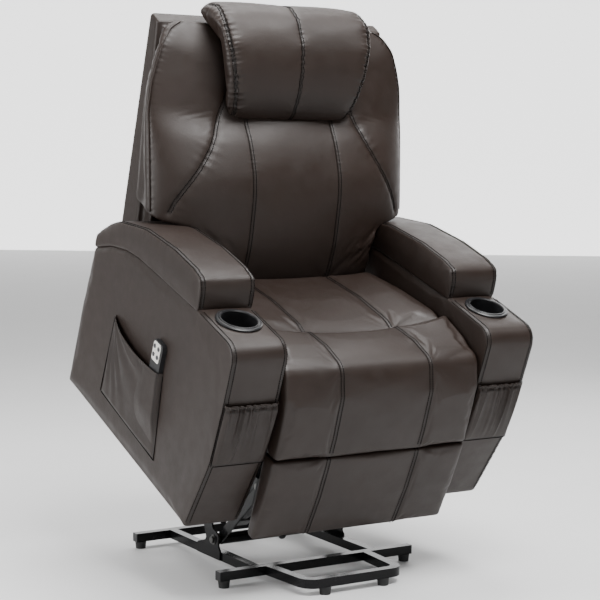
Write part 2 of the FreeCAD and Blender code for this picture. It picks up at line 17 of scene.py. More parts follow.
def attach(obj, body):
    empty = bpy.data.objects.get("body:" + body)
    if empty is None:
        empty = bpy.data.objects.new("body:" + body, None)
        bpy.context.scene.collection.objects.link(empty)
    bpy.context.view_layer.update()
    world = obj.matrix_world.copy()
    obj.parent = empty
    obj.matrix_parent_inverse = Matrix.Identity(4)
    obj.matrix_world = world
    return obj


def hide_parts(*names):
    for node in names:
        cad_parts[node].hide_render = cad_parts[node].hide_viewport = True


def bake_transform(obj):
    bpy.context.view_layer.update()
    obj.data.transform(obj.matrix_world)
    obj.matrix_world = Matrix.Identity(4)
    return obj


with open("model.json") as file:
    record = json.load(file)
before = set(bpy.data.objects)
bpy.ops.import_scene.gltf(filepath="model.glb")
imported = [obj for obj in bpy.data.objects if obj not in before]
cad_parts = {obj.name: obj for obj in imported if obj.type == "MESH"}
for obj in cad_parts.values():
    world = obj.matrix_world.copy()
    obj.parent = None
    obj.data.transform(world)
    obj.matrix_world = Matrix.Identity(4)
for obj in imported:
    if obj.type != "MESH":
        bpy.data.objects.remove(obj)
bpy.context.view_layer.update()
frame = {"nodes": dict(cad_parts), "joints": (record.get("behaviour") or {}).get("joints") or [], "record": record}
joints = {j["name"]: j for j in frame["joints"]}

# ---- Where the chair is in the frame ----
LEG_AXIS = (-0.005, 0.397)       # v, w of the leg rest's hinge
LIFT_AXIS = joints["handset_slide"]["axis"]
TILT = math.atan2(-LIFT_AXIS[1], LIFT_AXIS[2])
LEG_PIVOT = Vector(joints["leg_rest"]["pos_m"])
CHAIR = (Matrix.Translation(LEG_PIVOT) @ Matrix.Rotation(TILT, 4, "X")
         @ Matrix.Translation((0, -LEG_AXIS[0], -LEG_AXIS[1])))

# ---- Driving sizes of the upholstery ----
ARM_OUTER = 0.470
ARM_INNER = 0.310
SEAT_HALF = 0.300
NOSE_HALF = 0.303                # half the width of the leg rest's top half
FOOT_HALF = 0.304                # and of its lower half
PILLOW_HALF = 0.256
SHELL_HALF = 0.368
CUP_AT = (0.390, 0.079)          # u, v of the right cup holder
CUP_HOLE = 0.054                 # radius of the hole it sits in
COVER = 0.0022                   # thickness of the pockets' leather

# ---- Sewing ----
SEAM_U = 0.139                   # the long double seams of seat, leg rest and back
ROW_GAP = 0.0050                 # from a seam's middle to each of its two rows of stitches
# The long seams: groove width, and how strong and how wide the painted shade along them is.
LONG_SEAM = {"width": 0.004, "seam_shade": 0.45, "band": 0.0055}
POCKET_SEAM = {"depth": 0.0004, "width": 0.002, "pucker": 0.0}
STITCH_PITCH = 0.0064
THREAD_RADIUS = 0.00115
STITCH_RISE = (-0.3, 0.75, 0.75, -0.3)   # how high a stitch's four rings lie, in thread radii


# ---- Outlines ----
def rounded(corners, spacing=0.004, closed=True):
    """Even points along an outline; each corner is (v, w) or (v, w, radius)."""
    pts = [np.array(c[:2], float) for c in corners]
    path = []
    for i, corner in enumerate(corners):
        here = pts[i]
        inner = closed or 0 < i < len(corners) - 1
        if len(corner) == 2 or not inner:
            path.append(here)
            continue
        back, ahead = pts[i - 1] - here, pts[(i + 1) % len(pts)] - here
        back, ahead = back / np.linalg.norm(back), ahead / np.linalg.norm(ahead)
        half = math.acos(np.clip(back @ ahead, -1, 1)) / 2
        centre = here + (back + ahead) / np.linalg.norm(back + ahead) * corner[2] / math.sin(half)
        reach = corner[2] / math.tan(half)
        a, b = here + back * reach - centre, here + ahead * reach - centre
        for t in np.linspace(0, 1, 9):
            spoke = a * (1 - t) + b * t
            path.append(centre + spoke / np.linalg.norm(spoke) * corner[2])
    if closed:
        path.append(path[0])
    return even(np.array(path), spacing)[:-1 if closed else None]


def even(path, spacing):
    """The same line with points at even spacing."""
    steps = np.linalg.norm(np.diff(path, axis=0), axis=1)
    along = np.concatenate([[0], np.cumsum(steps)])
    count = max(2, int(round(along[-1] / spacing)) + 1)
    at = np.linspace(0, along[-1], count)
    return np.stack([np.interp(at, along, path[:, k]) for k in range(path.shape[1])], axis=1)


def curve(points, spacing=0.003):
    """A smooth open line through a few points."""
    p = np.array(points, float)
    ends = np.vstack([2 * p[0] - p[1], p, 2 * p[-1] - p[-2]])
    out = []
    for i in range(1, len(ends) - 2):
        for t in np.linspace(0, 1, 16, endpoint=False):
            a, b, c, d = ends[i - 1], ends[i], ends[i + 1], ends[i + 2]
            out.append(0.5 * (2 * b + (c - a) * t + (2 * a - 5 * b + 4 * c - d) * t ** 2
                              + (3 * b - a - 3 * c + d) * t ** 3))
    out.append(p[-1])
    return even(np.array(out), spacing)


def inward(loop):
    """Unit normals pointing into a closed loop."""
    ahead = np.roll(loop, -2, 0) - np.roll(loop, 2, 0)
    ahead /= np.linalg.norm(ahead, axis=1)[:, None] + 1e-12
    area = np.sum(loop[:, 0] * np.roll(loop[:, 1], -1) - np.roll(loop[:, 0], -1) * loop[:, 1])
    side = 1 if area > 0 else -1
    return np.stack([-ahead[:, 1], ahead[:, 0]], axis=1) * side


# ---- Meshes ----
def new_object(name, verts, faces):
    """A mesh object with its faces all turned outwards."""
    mesh = bpy.data.meshes.new(name)
    mesh.from_pydata([tuple(v) for v in verts], [], faces)
    work = bmesh.new()
    work.from_mesh(mesh)
    bmesh.ops.recalc_face_normals(work, faces=work.faces)
    work.to_mesh(mesh)
    work.free()
    mesh.update()
    obj = bpy.data.objects.new(name, mesh)
    bpy.context.scene.collection.objects.link(obj)
    return obj


def bolster(corners, low, high, edge):
    """(points, faces) of a block: a side outline carried across from low to high, with round ends."""
    loop = rounded(corners)
    normal = inward(loop)
    bend = np.linspace(0, math.pi / 2, 7)
    first = [(low + edge - edge * math.sin(b), edge * (1 - math.cos(b))) for b in bend[::-1]]
    last = [(high - edge + edge * math.sin(b), edge * (1 - math.cos(b))) for b in bend]
    rings = [np.column_stack([np.full(len(loop), x), loop + normal * inset]) for x, inset in first + last]
    n = len(loop)
    faces = [(r * n + i, r * n + (i + 1) % n, (r + 1) * n + (i + 1) % n, (r + 1) * n + i)
             for r in range(len(rings) - 1) for i in range(n)]
    faces.append(tuple(range(n))[::-1])
    faces.append(tuple(range((len(rings) - 1) * n, len(rings) * n)))
    return np.vstack(rings), faces


def joined(*blocks):
    """Several (points, faces) as one."""
    verts, faces, start = [], [], 0
    for v, f in blocks:
        verts.append(v)
        faces += [tuple(i + start for i in face) for face in f]
        start += len(v)
    return np.vstack(verts), faces


def applied(obj):
    """Replace an object's mesh by what its modifiers make of it."""
    bpy.context.view_layer.update()
    graph = bpy.context.evaluated_depsgraph_get()
    mesh = bpy.data.meshes.new_from_object(obj.evaluated_get(graph))
    obj.modifiers.clear()
    obj.data = mesh


def remeshed(obj, size):
    """One closed skin of even faces, at most a voxel wide."""
    mod = obj.modifiers.new("remesh", "REMESH")
    mod.mode = "VOXEL"
    mod.voxel_size = size
    applied(obj)


def smoothed(obj, times):
    mod = obj.modifiers.new("smooth", "SMOOTH")
    mod.iterations = times
    mod.factor = 0.5
    applied(obj)


def subdivided(obj):
    obj.modifiers.new("finer", "SUBSURF").levels = 1
    applied(obj)


def points_of(obj):
    co = np.empty(len(obj.data.vertices) * 3)
    obj.data.vertices.foreach_get("co", co)
    return co.reshape(-1, 3)


def normals_of(obj):
    no = np.empty(len(obj.data.vertices) * 3)
    obj.data.vertices.foreach_get("normal", no)
    return no.reshape(-1, 3)


def set_points(obj, co):
    obj.data.vertices.foreach_set("co", co.ravel())
    obj.data.update()


def faces_of(obj):
    return [tuple(p.vertices) for p in obj.data.polygons]


def surface_of(obj):
    return BVHTree.FromPolygons([tuple(c) for c in points_of(obj)], faces_of(obj))


def distances(co, lines):
    """For each point, how far the nearest of some lines is, and how far along it that is."""
    tree = KDTree(sum(len(line) for line in lines))
    along = []
    for line in lines:
        steps = np.concatenate([[0], np.cumsum(np.linalg.norm(np.diff(line, axis=0), axis=1))])
        for p, s in zip(line, steps):
            tree.insert(Vector(p), len(along))
            along.append(s)
    tree.balance()
    found = [tree.find(Vector(p)) for p in co]
    return np.array([f[2] for f in found]), np.array([along[f[1]] for f in found])


CLOTH_STEPS = 20
CLOTH_PRESSURE = 4.0


def inflated(obj, seams, pressure, cap, hold):
    """Blow a cover up like a stuffed one, with its seams held, and cap how far it swells."""
    start = points_of(obj)
    far, _ = distances(start, seams)
    group = obj.vertex_groups.new(name="held")
    group.add([int(i) for i in np.nonzero(far < hold)[0]], 1.0, "REPLACE")
    cloth = obj.modifiers.new("cloth", "CLOTH")
    cloth.settings.quality = 4
    cloth.settings.mass = 0.3
    cloth.settings.use_pressure = True
    cloth.settings.uniform_pressure_force = pressure
    cloth.settings.effector_weights.gravity = 0
    cloth.settings.vertex_group_mass = "held"
    cloth.collision_settings.use_collision = False
    for step in range(1, CLOTH_STEPS + 1):
        bpy.context.scene.frame_set(step)
    applied(obj)
    obj.vertex_groups.clear()
    moved = points_of(obj) - start
    size = np.linalg.norm(moved, axis=1)
    moved *= np.minimum(1, cap / np.maximum(size, 1e-9))[:, None]
    set_points(obj, start + moved)
    bpy.context.scene.frame_set(1)


def ripple(s, wave):
    """An uneven wave between 0 and 1 along a seam."""
    a = np.sin(2 * math.pi * s / wave + 1.7 * np.sin(s * 31.0))
    b = np.sin(2 * math.pi * s / (wave * 1.63) + 0.9)
    return 0.5 + 0.3 * a + 0.2 * b


def carved(obj, seams, depth=0.0022, width=0.0034, pucker=0.0010, seam_shade=1.0, band=0.0022):
    """Press seams in, with the small puckers that they pull up, and paint shade along them for the material."""
    co, no = points_of(obj), normals_of(obj)
    far, along = distances(co, seams)
    groove = np.exp(-(far / width) ** 2)
    pull = np.exp(-(far / (3.2 * width)) ** 2) * ripple(along, 0.013)
    set_points(obj, co - no * (depth * groove + pucker * pull)[:, None])
    # Painted shade along the seams, darkest in their grooves; the material darkens the colour by it.
    seam_shade_mark = obj.data.attributes.new("seam", "FLOAT", "POINT")
    seam_shade_mark.data.foreach_set("value", (seam_shade * np.exp(-(far / band) ** 2)).astype(np.float32))


def laid(surface, points, spacing=0.0025):
    """A line through a few points, brought onto a surface: (places, normals)."""
    line = curve(points, spacing)
    for _ in range(2):
        line = np.array([surface.find_nearest(Vector(p))[0] for p in line])
        line[1:-1] = (line[:-2] + line[1:-1] * 2 + line[2:]) / 4
    hits = [surface.find_nearest(Vector(p)) for p in line]
    return np.array([h[0] for h in hits]), np.array([h[1] for h in hits])


def unit(vectors):
    return vectors / (np.linalg.norm(vectors, axis=-1, keepdims=True) + 1e-12)


def stitches(name, obj, seams):
    """Two rows of thread along each seam, in one mesh: each stitch rises and dips back in."""
    surface = surface_of(obj)
    verts, faces = [], []
    ring = [(math.cos(a), math.sin(a)) for a in np.linspace(0, 2 * math.pi, 6, endpoint=False)]
    n, last = len(ring), len(STITCH_RISE) - 1
    for seam in seams:
        places, normals = laid(surface, seam[::4] if len(seam) > 12 else seam)
        side = np.cross(normals, unit(np.gradient(places, axis=0)))
        for offset in (-ROW_GAP, ROW_GAP):
            row = even(places + side * offset, STITCH_PITCH / 4)
            hits = [surface.find_nearest(Vector(p)) for p in row]
            at = np.array([h[0] for h in hits])
            up = np.array([h[1] for h in hits])
            for k in range(2, len(at) - 4, 4):
                start = len(verts)
                for j, rise in enumerate(STITCH_RISE):
                    ahead = unit(at[min(k + j + 1, len(at) - 1)] - at[k + j - 1])
                    out = up[k + j]
                    wide = np.cross(out, ahead)
                    middle = at[k + j] + out * rise * THREAD_RADIUS
                    verts += [middle + (wide * c + out * s) * THREAD_RADIUS for c, s in ring]
                faces += [(start + r * n + i, start + r * n + (i + 1) % n,
                           start + (r + 1) * n + (i + 1) % n, start + (r + 1) * n + i)
                          for r in range(last) for i in range(n)]
                faces.append(tuple(start + i for i in range(n))[::-1])
                faces.append(tuple(start + last * n + i for i in range(n)))
    made = new_object(name, verts, faces)
    made.data.materials.append(MATERIALS["thread"])
    return made


def tube(path, radius, sides=10):
    """(points, faces) of a round cord along a line, with closed ends."""
    nearly_up = (0.0, 0.02, 1.0)
    ahead = unit(np.gradient(path, axis=0))
    side = unit(np.cross(ahead, nearly_up))
    top = np.cross(side, ahead)
    verts = [path + (side * math.cos(a) + top * math.sin(a)) * radius
             for a in np.linspace(0, 2 * math.pi, sides, endpoint=False)]
    n = len(path)
    faces = [(k * n + i, k * n + i + 1, (k + 1) % sides * n + i + 1, (k + 1) % sides * n + i)
             for k in range(sides) for i in range(n - 1)]
    faces.append(tuple(k * n for k in range(sides)))
    faces.append(tuple(k * n + n - 1 for k in range(sides))[::-1])
    return np.vstack(verts), faces


def mirrored(obj, name):
    """A copy on the other side of the chair."""
    mesh = obj.data.copy()
    mesh.transform(Matrix.Diagonal((-1, 1, 1, 1)))
    mesh.flip_normals()
    other = bpy.data.objects.new(name, mesh)
    bpy.context.scene.collection.objects.link(other)
    return other


def seat_in_place(obj, material=None):
    """Carry a piece from chair coordinates to its place in the frame."""
    obj.data.transform(CHAIR)
    obj.data.update()
    obj.data.polygons.foreach_set("use_smooth", [True] * len(obj.data.polygons))
    if material:
        obj.data.materials.clear()
        obj.data.materials.append(MATERIALS[material])


def placed(obj, material, body):
    """Put a piece in place with its material, on its body."""
    seat_in_place(obj, material)
    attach(obj, body)


# ---- Materials ----
class Finish:
    """One procedural material, with short ways to add its nodes."""

    def __init__(self, name, **sockets):
        self.mat = bpy.data.materials.new(name)
        self.mat.use_nodes = True
        self.tree = self.mat.node_tree
        self.shader = self.tree.nodes["Principled BSDF"]
        for socket, value in sockets.items():
            self.shader.inputs[socket.replace("_", " ")].default_value = value
        self.place = self.add("ShaderNodeTexCoord").outputs["Object"]

    def add(self, kind, inputs=(), **settings):
        node = self.tree.nodes.new(kind)
        for key, value in settings.items():
            setattr(node, key, value)
        for key, value in dict(inputs).items():
            if isinstance(value, bpy.types.NodeSocket):
                self.tree.links.new(value, node.inputs[key])
            else:
                node.inputs[key].default_value = value
        return node

    def noise(self, scale, detail=2.0):
        inputs = {"Vector": self.place, "Scale": scale, "Detail": detail}
        return self.add("ShaderNodeTexNoise", inputs).outputs["Fac"]

    def streaks(self, stretch, scale, detail):
        """Noise that is drawn out: stretch is its scale along each axis."""
        place = self.add("ShaderNodeMapping", {"Vector": self.place, "Scale": stretch})
        inputs = {"Vector": place.outputs["Vector"], "Scale": scale, "Detail": detail}
        return self.add("ShaderNodeTexNoise", inputs).outputs["Fac"]

    def cells(self, scale):
        inputs = {"Vector": self.place, "Scale": scale}
        return self.add("ShaderNodeTexVoronoi", inputs, feature="SMOOTH_F1").outputs["Distance"]

    def seam(self):
        # How much painted shade a point gets from a nearby seam.
        return self.add("ShaderNodeAttribute", attribute_name="seam").outputs["Fac"]

    def mapped(self, value, low, high, source=(0.0, 1.0)):
        inputs = {"Value": value, "From Min": source[0], "From Max": source[1], "To Min": low,
                  "To Max": high}
        return self.add("ShaderNodeMapRange", inputs).outputs["Result"]

    def blended(self, factor, first, second):
        node = self.add("ShaderNodeMix", {"Factor": factor}, data_type="RGBA")
        for socket, value in zip((node.inputs[6], node.inputs[7]), (first, second)):
            if isinstance(value, bpy.types.NodeSocket):
                self.tree.links.new(value, socket)
            else:
                socket.default_value = (*value, 1.0)
        return node.outputs[2]

    def bump(self, layers):
        """Stack (height, strength, distance) layers of relief and give them to the shader."""
        normal = None
        for height, strength, distance in layers:
            node = self.add("ShaderNodeBump",
                            {"Height": height, "Strength": strength, "Distance": distance})
            if normal is not None:
                self.tree.links.new(normal, node.inputs["Normal"])
            normal = node.outputs["Normal"]
        self.tree.links.new(normal, self.shader.inputs["Normal"])

    def link(self, value, socket):
        self.tree.links.new(value, self.shader.inputs[socket])

    def colour(self, factor, first, second):
        self.link(self.blended(factor, first, second), "Base Color")

    def roughness(self, value, low, high, source=(0.3, 0.7)):
        self.link(self.mapped(value, low, high, source), "Roughness")


def scaled(colour, factor):
    return tuple(c * factor for c in colour)


def leather(name, colour, rough=(0.44, 0.54)):
    """Coated leather: pebbled grain, broad unevenness, and painted shade darkening its seams."""
    f = Finish(name, Specular_IOR_Level=0.36)
    clouds = f.mapped(f.noise(5.0, 4.0), 0.0, 1.0, (0.3, 0.7))
    tone = f.blended(clouds, scaled(colour, 0.90), scaled(colour, 1.10))
    speck = f.blended(f.mapped(f.cells(620.0), 0.0, 0.35, (0.35, 0.8)), tone, scaled(colour, 0.55))
    # Painted shade: the colour darkens towards a tenth of itself along the seams.
    f.colour(f.mapped(f.seam(), 0.0, 0.78), speck, scaled(colour, 0.10))
    f.roughness(f.noise(26.0, 3.0), *rough)
    f.bump([(f.noise(9.0, 3.0), 0.22, 0.004), (f.noise(70.0, 3.0), 0.25, 0.0009),
            (f.cells(620.0), 0.5, 0.00035)])
    return f.mat


def steel_paint(name, colour):
    """Gloss powder coat with a faint orange peel and a little dust."""
    f = Finish(name, Specular_IOR_Level=0.17)
    f.colour(f.mapped(f.noise(25.0, 3.0), 0.0, 1.0, (0.4, 0.8)), colour, scaled(colour, 1.3))
    f.roughness(f.noise(30.0, 2.0), 0.20, 0.27, (0.3, 0.75))
    f.bump([(f.noise(420.0, 2.0), 0.08, 0.0001)])
    return f.mat


def bare_metal(name, colour, roughness, streak):
    """Plated or polished metal, with streaks along its length."""
    f = Finish(name, Metallic=1.0)
    wave = f.streaks((streak, 20.0, 20.0), 9.0, 4.0)
    f.colour(wave, scaled(colour, 0.8), colour)
    f.roughness(wave, roughness * 0.7, roughness * 1.4)
    f.bump([(wave, 0.15, 0.0002)])
    return f.mat


def moulded(name, colour, roughness, grain=900.0, depth=0.00012):
    """Moulded plastic or rubber with a spark-eroded texture."""
    f = Finish(name)
    clouds = f.mapped(f.noise(30.0, 4.0), 0.0, 1.0, (0.35, 0.7))
    f.colour(clouds, scaled(colour, 0.85), scaled(colour, 1.15))
    f.roughness(f.noise(60.0, 3.0), roughness - 0.06, roughness + 0.08)
    f.bump([(f.noise(grain, 2.0), 0.5, depth)])
    return f.mat


def timber(name, colour):
    """Plywood with grain along its width."""
    f = Finish(name)
    grain = f.streaks((1.0, 14.0, 14.0), 11.0, 6.0)
    f.colour(f.mapped(grain, 0.0, 1.0, (0.35, 0.65)), scaled(colour, 0.62), colour)
    f.roughness(grain, 0.55, 0.75, (0.0, 1.0))
    f.bump([(grain, 0.4, 0.0005)])
    return f.mat


def felt(name, colour):
    """Black lining cloth."""
    f = Finish(name, Roughness=0.9, Sheen_Weight=0.3)
    f.colour(f.noise(900.0, 3.0), scaled(colour, 0.6), scaled(colour, 1.5))
    f.bump([(f.noise(1200.0, 3.0), 0.6, 0.0005)])
    return f.mat


def thread(name, colour):
    """Twisted sewing thread."""
    f = Finish(name, Roughness=0.8, Specular_IOR_Level=0.08)
    twist = f.noise(1500.0, 1.0)
    f.colour(twist, scaled(colour, 0.7), scaled(colour, 1.3))
    f.bump([(twist, 0.5, 0.0002)])
    return f.mat


def floor_finish(name):
    """Pale, faintly uneven floor paint."""
    f = Finish(name, Roughness=0.6)
    f.colour(f.noise(3.0, 3.0), (0.62, 0.62, 0.62), (0.65, 0.65, 0.65))
    return f.mat


def backdrop_finish(name):
    """A plain white paper that is lit from within, so that it casts no shadow of its own."""
    f = Finish(name, Roughness=0.9, Emission_Strength=2.2)
    f.link(f.blended(f.noise(0.4, 2.0), (0.97, 0.97, 0.97), (1.0, 1.0, 1.0)), "Emission Color")
    return f.mat


BROWN = (0.0166, 0.0098, 0.0071)
MATERIALS = {
    "leather": leather("brown_leather", BROWN),
    "pocket": leather("pocket_leather", scaled(BROWN, 0.92), (0.48, 0.60)),
    "thread": thread("dark_thread", (0.0022, 0.0018, 0.0016)),
    "lining": felt("black_lining", (0.008, 0.008, 0.009)),
    "black_steel": steel_paint("black_powder_coat", (0.0042, 0.0042, 0.0046)),
    "zinc_steel": bare_metal("zinc_plate", (0.13, 0.13, 0.125), 0.36, 6.0),
    "polished_steel": bare_metal("polished_steel", (0.66, 0.66, 0.67), 0.16, 3.0),
    "motor_plastic": moulded("motor_plastic", (0.022, 0.022, 0.023), 0.5),
    "foot_rubber": moulded("foot_rubber", (0.010, 0.010, 0.010), 0.7, 500.0, 0.0003),
    "black_plastic": moulded("black_plastic", (0.008, 0.008, 0.009), 0.36),
    "faceplate_plastic": moulded("faceplate_plastic", (0.62, 0.61, 0.57), 0.4),
    "button_plastic": moulded("button_plastic", (0.030, 0.030, 0.034), 0.42),
    "plywood": timber("plywood", (0.46, 0.30, 0.16)),
}
COVERED_BOARDS = ("leg_board",)   # with black lining cloth stapled over them


def dress_cad_nodes():
    """Give every CAD node that is kept the finish of its slot."""
    for row in frame["record"]["subparts"]:
        node = frame["nodes"].get(row["node"])
        finish = MATERIALS.get("lining" if row["node"] in COVERED_BOARDS else row["material_slot"])
        if node is not None and finish is not None:
            for place in node.material_slots:
                place.material = finish


dress_cad_nodes()


# ---- Stage, lights and camera ----
VIEW_YAW, VIEW_PITCH, VIEW_ROLL = 31.8, 5.26, 0.62   # how far the camera is turned, in degrees
CAMERA_AT = (-2.40, -3.906, 1.174)
LENS, SENSOR = 98.3, 36          # millimetres
FLOOR = [(-30, -30, 0), (30, -30, 0), (30, 30, 0), (-30, 30, 0)]
BACKDROP = [(-16, 14, 0), (16, 14, 0), (16, 14, 11), (-16, 14, 11)]   # before it turns with the camera
WORLD_STRENGTH = 0.10
SOFTBOXES = {                    # place, target, width and height, watts
    "key_light": ((0.3, -1.9, 4.2), (0.0, -0.1, 0.7), (2.6, 1.6), 350),
    "top_light": ((0.2, 0.9, 4.3), (0.0, 0.0, 0.8), (3.2, 2.0), 190),
    "front_light": ((-1.2, -3.8, 2.6), (0.0, 0.0, 0.7), (2.4, 2.4), 45),
    "side_light": ((-4.2, 0.7, 2.0), (0.0, 0.0, 0.7), (2.0, 2.6), 205),
    "rim_light": ((3.2, 1.6, 2.4), (0.0, 0.0, 1.0), (1.6, 1.8), 36),
}


def card(name, corners, finish):
    """A flat sheet of the stage."""
    obj = new_object(name, corners, [(0, 1, 2, 3)])
    obj.data.materials.append(finish)
    return obj


def set_stage():
    """A pale floor in front of a white backdrop, lit by softboxes and a dim, even sky."""
    floor = card("floor", FLOOR, floor_finish("pale_floor"))
    backdrop = card("backdrop", BACKDROP, backdrop_finish("white_backdrop"))
    backdrop.data.transform(Matrix.Rotation(-math.radians(VIEW_YAW), 4, "Z"))
    world = bpy.data.worlds.new("studio")
    world.use_nodes = True
    sky = world.node_tree.nodes["Background"]
    sky.inputs["Color"].default_value = (1.0, 1.0, 1.0, 1.0)
    sky.inputs["Strength"].default_value = WORLD_STRENGTH
    bpy.context.scene.world = world
    for name, settings in SOFTBOXES.items():
        softbox(name, *settings)


def softbox(name, at, target, size, power):
    """A rectangular area light at one point, turned towards another."""
    light = bpy.data.lights.new(name, "AREA")
    light.shape = "RECTANGLE"
    light.size, light.size_y = size
    light.energy = power
    obj = bpy.data.objects.new(name, light)
    obj.location = at
    obj.rotation_euler = (Vector(target) - Vector(at)).to_track_quat("-Z", "Y").to_euler()
    bpy.context.scene.collection.objects.link(obj)


def set_camera():
    """Front quarter view, a little above the seat and turned to look slightly down."""
    yaw, pitch, roll = (math.radians(angle) for angle in (VIEW_YAW, VIEW_PITCH, VIEW_ROLL))
    ahead = Vector((math.sin(yaw) * math.cos(pitch), math.cos(yaw) * math.cos(pitch), -math.sin(pitch)))
    level = Vector((math.cos(yaw), -math.sin(yaw), 0))
    above = level.cross(ahead)
    right = level * math.cos(roll) + above * math.sin(roll)
    up = above * math.cos(roll) - level * math.sin(roll)
    camera = bpy.data.objects.new("camera", bpy.data.cameras.new("camera"))
    camera.data.lens = LENS
    camera.data.sensor_width = SENSOR
    turned = Matrix((right, up, -ahead)).transposed().to_4x4()
    camera.matrix_world = Matrix.Translation(CAMERA_AT) @ turned
    bpy.context.scene.collection.objects.link(camera)
    bpy.context.scene.camera = camera


set_camera()
set_stage()


# ---- Making a padded piece ----
def across(path, u):
    """Points of a (v, w) line at one distance from the middle of the chair."""
    return np.array([(u, v, w) for v, w in path], float)


def long_seams(path):
    """The same (v, w) line on both sides of the middle."""
    return [across(path, u) for u in (-SEAM_U, SEAM_U)]


def sandwich(front, back):
    """(points, faces) of a closed form between two grids of points."""
    rows, cols = front.shape[:2]
    verts = np.vstack([front.reshape(-1, 3), back.reshape(-1, 3)])
    n = rows * cols

    def at(i, j, side):
        return side * n + i * cols + j

    faces = [(at(i, j, 0), at(i, j + 1, 0), at(i + 1, j + 1, 0), at(i + 1, j, 0))
             for i in range(rows - 1) for j in range(cols - 1)]
    faces += [(at(i + 1, j, 1), at(i + 1, j + 1, 1), at(i, j + 1, 1), at(i, j, 1))
              for i in range(rows - 1) for j in range(cols - 1)]
    rim = [(0, j) for j in range(cols)] + [(i, cols - 1) for i in range(1, rows)]
    rim += [(rows - 1, j) for j in range(cols - 2, -1, -1)] + [(i, 0) for i in range(rows - 2, 0, -1)]
    faces += [(at(*a, 1), at(*b, 1), at(*b, 0), at(*a, 0)) for a, b in zip(rim, rim[1:] + rim[:1])]
    return verts, faces


def padded_form(name, blocks, seams, cap, shape=None, voxel=0.006, smooth=6, hold=0.007):
    """A padded body: blocks fused and softened, blown up between its seams, then made finer."""
    obj = new_object(name, *joined(*blocks))
    remeshed(obj, voxel)
    smoothed(obj, smooth)
    if shape:
        set_points(obj, shape(points_of(obj)))
        seams = [shape(s) for s in seams]
    surface = surface_of(obj)
    lines = [laid(surface, s)[0] for s in seams]
    inflated(obj, lines, CLOTH_PRESSURE, cap, hold)
    subdivided(obj)
    return obj, relaid(obj, lines)


def relaid(obj, lines):
    """Lines brought onto a surface again after it has changed."""
    surface = surface_of(obj)
    return [laid(surface, line[::4])[0] for line in lines]


def finished(obj, seams, body, nodes, bend=None):
    """Stitch a padded piece, put it in place, hang it on its body unless it is given a bend (then it stays fixed
    in the frame), and hide the CAD nodes it stands for.
    """
    thread_work = stitches(obj.name + "_stitches", obj, seams)
    seat_in_place(obj, "leather")
    seat_in_place(thread_work)
    for piece in (obj, thread_work):
        if bend:
            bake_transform(piece)
        else:
            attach(piece, body)
    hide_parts(*nodes)


def in_frame(v, w):
    """A point on the chair's middle plane, in the frame."""
    return tuple(CHAIR @ Vector((0, v, w)))


# ---- Seat and leg rest ----
DISH_V = (0.0, 0.130, 0.300, 0.500)      # from the front roll to the back of the seat
DISH_DEPTH = (0.0, 0.028, 0.016, 0.010)
DISH_HALF = 0.256                        # how far from the middle the dish reaches
DISH_FROM, DISH_FULL = 0.400, 0.460      # the heights between which it fades in
CORNER_HALF = 0.295                      # where the leg rest's front has fallen all the way back


def seat_dish(co):
    """The seat is lower in the middle, most of all at its front crease."""
    out = co.copy()
    depth = np.interp(co[:, 1], DISH_V, DISH_DEPTH)
    up = np.clip((co[:, 2] - DISH_FROM) / (DISH_FULL - DISH_FROM), 0, 1)
    out[:, 2] += depth * up * ((np.abs(co[:, 0]) / DISH_HALF) ** 2 - 0.10)
    return out


def fallen_back(co, front, reach):
    """Draw the front back towards the corners; front is 1 on it and 0 behind it."""
    out = co.copy()
    out[:, 1] += front * reach * (np.abs(co[:, 0]) / CORNER_HALF) ** 4
    return out


def nose_shape(co):
    """The leg rest's top half is dished like the seat, and its ends fall back from the front."""
    return fallen_back(seat_dish(co), np.clip(-co[:, 1] / 0.05, 0, 1), 0.006)


def foot_shape(co):
    """The ends of the leg rest's lower half fall back a little less."""
    return fallen_back(co, np.clip((-co[:, 1] - 0.030) / 0.04, 0, 1), 0.005)


def make_seat():
    block = bolster([(0.139, 0.368, 0.012), (0.142, 0.462, 0.012), (0.182, 0.474, 0.03), (0.320, 0.474),
                     (0.520, 0.452, 0.015), (0.520, 0.368)], -SEAT_HALF, SEAT_HALF, 0.010)
    seams = long_seams([(0.142, 0.440), (0.144, 0.462), (0.182, 0.474), (0.320, 0.474), (0.500, 0.455)])
    obj, lines = padded_form("seat_pad", [block], seams, 0.003, seat_dish, hold=0.012)
    smoothed(obj, 2)
    carved(obj, lines, depth=0.0014, pucker=0.0005, **LONG_SEAM)
    finished(obj, lines, "chair", ["seat_cushion"])


def make_nose():
    """The front roll with the leg rest's top half, one cover over both."""
    block = bolster([(0.134, 0.425), (0.139, 0.476, 0.014), (0.038, 0.487), (-0.049, 0.477, 0.048),
                     (-0.084, 0.400), (-0.091, 0.288), (-0.090, 0.2295, 0.004), (-0.050, 0.2285, 0.006),
                     (-0.026, 0.250), (-0.026, 0.320), (-0.012, 0.345), (0.050, 0.405)],
                    -NOSE_HALF, NOSE_HALF, 0.008)
    seams = long_seams([(0.137, 0.466), (0.110, 0.480), (0.038, 0.487), (-0.020, 0.482), (-0.060, 0.457),
                        (-0.081, 0.405), (-0.088, 0.340), (-0.090, 0.288), (-0.087, 0.236)])
    obj, lines = padded_form("leg_rest_top_pad", [block], seams, 0.0035, nose_shape, voxel=0.005, smooth=3,
                             hold=0.012)
    carved(obj, lines, depth=0.0010, pucker=0.0003, **LONG_SEAM)
    bend = ("chair", "leg_rest", in_frame(0.060, 0.482), in_frame(-0.088, 0.300))
    finished(obj, lines, None, ["seat_front_roll", "upper_leg_pad"], bend)


